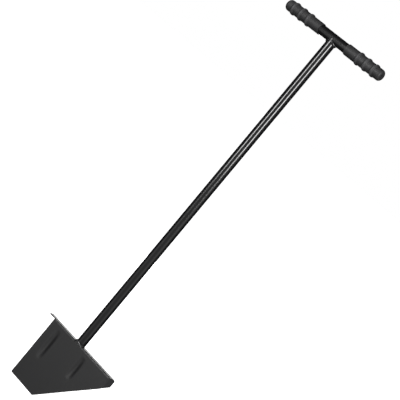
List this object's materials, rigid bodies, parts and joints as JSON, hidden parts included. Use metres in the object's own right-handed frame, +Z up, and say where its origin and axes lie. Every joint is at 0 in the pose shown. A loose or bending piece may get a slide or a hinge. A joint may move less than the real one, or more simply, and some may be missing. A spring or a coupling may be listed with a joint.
{
  "type": "step-on spade",
  "caption": "Step-on spade with a long tube shaft, a welded T-handle with ribbed rubber grips, and a flat sheet blade with a sloping edge and a turned-back foot step.",
  "frame": {"origin": "on the shaft's axis, level with the cutting edge", "axes": "+Z up the shaft to the T-handle; +X along the T-handle, towards the blade's turned end; the blade's working face looks towards -Y, and the step is turned back towards +Y"},
  "size_m": [0.286, 0.0296, 0.9998],
  "materials": {
    "painted_steel": "gloss black powder coat on drawn steel tube",
    "painted_blade": "satin black powder coat on sheet steel",
    "painted_weld": "gloss black powder coat over weld bead",
    "rubber_grip": "matte black moulded rubber"
  },
  "bodies": {
    "root": {"shaft_tube": "painted_steel", "cross_tube": "painted_steel", "grip_left": "rubber_grip", "grip_right": "rubber_grip", "blade": "painted_blade", "handle_weld": "painted_weld", "step_weld": "painted_weld", "rear_weld_left": "painted_weld", "rear_weld_right": "painted_weld"}
  },
  "joints": []
}
